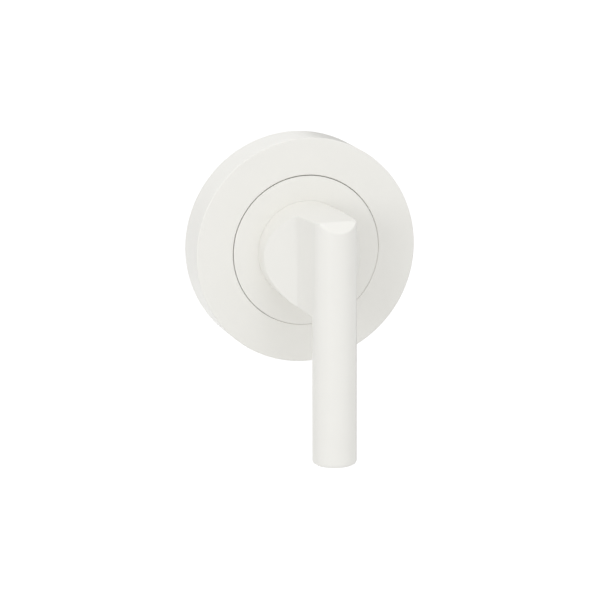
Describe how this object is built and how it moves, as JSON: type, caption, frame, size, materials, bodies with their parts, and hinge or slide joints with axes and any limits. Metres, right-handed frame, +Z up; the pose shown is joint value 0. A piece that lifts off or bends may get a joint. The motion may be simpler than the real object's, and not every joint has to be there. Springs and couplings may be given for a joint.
{
  "type": "bathroom thumb turn",
  "caption": "Privacy thumb turn on a round rose: a hub and sloped neck carry a round bar that hangs down and turns a square spindle through the door to lock it.",
  "frame": {"origin": "centre of the rose on the door's face, which is the back of the rose", "axes": "-Y out of the door towards the user, +Y into the door along the spindle, +Z up, +X to the user's right"},
  "size_m": [0.052, 0.0805, 0.0709],
  "materials": {
    "coated_cover": "satin off-white powder coat",
    "coated_housing": "satin off-white powder coat",
    "coated_turn": "satin off-white powder coat",
    "cast_plate": "as cast, tumbled",
    "bush_plastic": "natural acetal",
    "spring_steel": "oiled spring steel",
    "washer_steel": "stamped",
    "spindle_steel": "drawn bar, zinc plated",
    "zinc_steel": "bright zinc plated"
  },
  "bodies": {
    "rose": {"rose_cover": "coated_cover", "mounting_plate": "cast_plate", "cover_snap_ring": "spring_steel", "turn_housing": "coated_housing", "front_bush": "bush_plastic", "rear_bush": "bush_plastic", "wood_screws": "zinc_steel", "housing_screws": "zinc_steel"},
    "turn": {"thumb_turn": "coated_turn", "spindle": "spindle_steel", "spindle_pin": "spring_steel", "thrust_washer": "washer_steel", "cone_spring_washer": "spring_steel", "stop_washer": "washer_steel", "shank_circlip": "spring_steel"}
  },
  "joints": [
    {"name": "turn_swing", "type": "hinge", "parent": "rose", "child": "turn", "pos_m": [0, 0, 0], "axis": [0, 1, 0], "range_deg": [-90, 90]}
  ]
}
